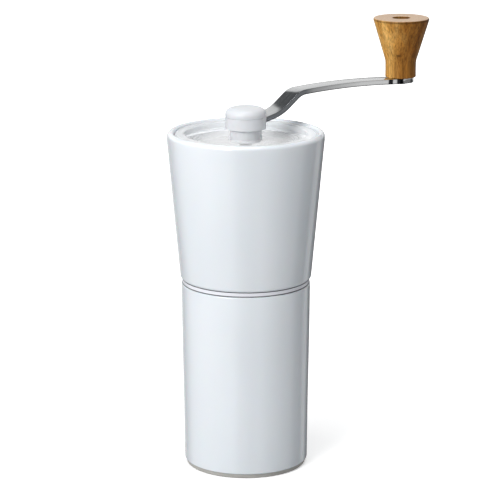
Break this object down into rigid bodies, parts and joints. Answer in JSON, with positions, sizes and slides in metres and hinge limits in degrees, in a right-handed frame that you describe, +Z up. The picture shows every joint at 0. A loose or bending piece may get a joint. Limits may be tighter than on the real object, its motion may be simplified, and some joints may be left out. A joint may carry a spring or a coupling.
{
  "type": "coffee grinder",
  "caption": "Hand crank coffee grinder: a porcelain mill on a porcelain jar, a conical burr, a clear lid and a removable steel crank with a wooden knob.",
  "frame": {"origin": "centre of the face that the grinder stands on", "axes": "+Z up along the shaft; the crank points along +X; +Y completes the right-handed frame"},
  "size_m": [0.1507, 0.076, 0.2115],
  "materials": {
    "porcelain": "glossy white glaze",
    "burr_ceramic": "matt, unglazed",
    "silicone": "matt, grey-beige",
    "white_plastic": "satin, moulded",
    "bearing_plastic": "natural acetal",
    "clear_plastic": "clear, moulded",
    "steel": "turned and bright",
    "brushed_steel": "brushed along the bar",
    "wood": "turned, thin satin lacquer"
  },
  "bodies": {
    "jar": {"lower_body": "porcelain", "foot_pad": "silicone", "jar_collar": "white_plastic"},
    "seal": {"seal_ring": "silicone"},
    "mill": {"upper_body": "porcelain", "mill_frame": "white_plastic", "hopper_funnel": "white_plastic", "shaft_bushing": "bearing_plastic", "outer_burr": "burr_ceramic", "burr_retainer": "steel", "retainer_screws": "steel"},
    "lid": {"lid": "clear_plastic"},
    "shaft": {"main_shaft": "steel", "shaft_collar": "steel", "drive_nut": "steel", "spring_washer": "steel", "burr_spring": "steel", "shaft_clip": "steel"},
    "cone": {"inner_burr": "burr_ceramic", "burr_carrier": "white_plastic"},
    "adjuster": {"grind_nut": "white_plastic"},
    "crank": {"crank_arm": "brushed_steel", "crank_hub": "white_plastic", "hub_screw": "steel", "hub_cap": "white_plastic", "knob_pin": "steel", "knob_washer": "steel"},
    "knob": {"knob": "wood", "knob_sleeve": "bearing_plastic"}
  },
  "joints": [
    {"name": "jar_thread_lift", "type": "slide", "parent": "jar", "child": "seal", "axis": [0, 0, 1], "range_m": [0, 0.0045]},
    {"name": "jar_thread_turn", "type": "hinge", "parent": "seal", "child": "mill", "pos_m": [0, 0, 0.09], "axis": [0, 0, 1], "range_deg": [0, 540]},
    {"name": "crank_spin", "type": "hinge", "parent": "mill", "child": "shaft", "pos_m": [0, 0, 0.107], "axis": [0, 0, 1], "continuous": true},
    {"name": "burr_travel", "type": "slide", "parent": "shaft", "child": "cone", "axis": [0, 0, 1], "range_m": [-0.001, 0], "deforming": ["burr_spring"]},
    {"name": "adjust_turn", "type": "hinge", "parent": "cone", "child": "adjuster", "pos_m": [0, 0, 0.0784], "axis": [0, 0, 1], "range_deg": [-360, 0]},
    {"name": "crank_lift", "type": "slide", "parent": "shaft", "child": "crank", "axis": [0, 0, 1], "range_m": [0, 0.06]},
    {"name": "lid_lift", "type": "slide", "parent": "mill", "child": "lid", "axis": [0, 0, 1], "range_m": [0, 0.03]},
    {"name": "knob_spin", "type": "hinge", "parent": "crank", "child": "knob", "pos_m": [0.0985, 0, 0.19], "axis": [0, 0, 1], "continuous": true}
  ],
  "couplings": [
    {"joint": "jar_thread_lift", "follows": "jar_thread_turn", "m_per_rad": 0.000477},
    {"joint": "adjust_turn", "follows": "burr_travel", "rad_per_m": 6283.1},
    {"joint": "lid_lift", "follows": "crank_lift", "ratio": 0.5}
  ]
}
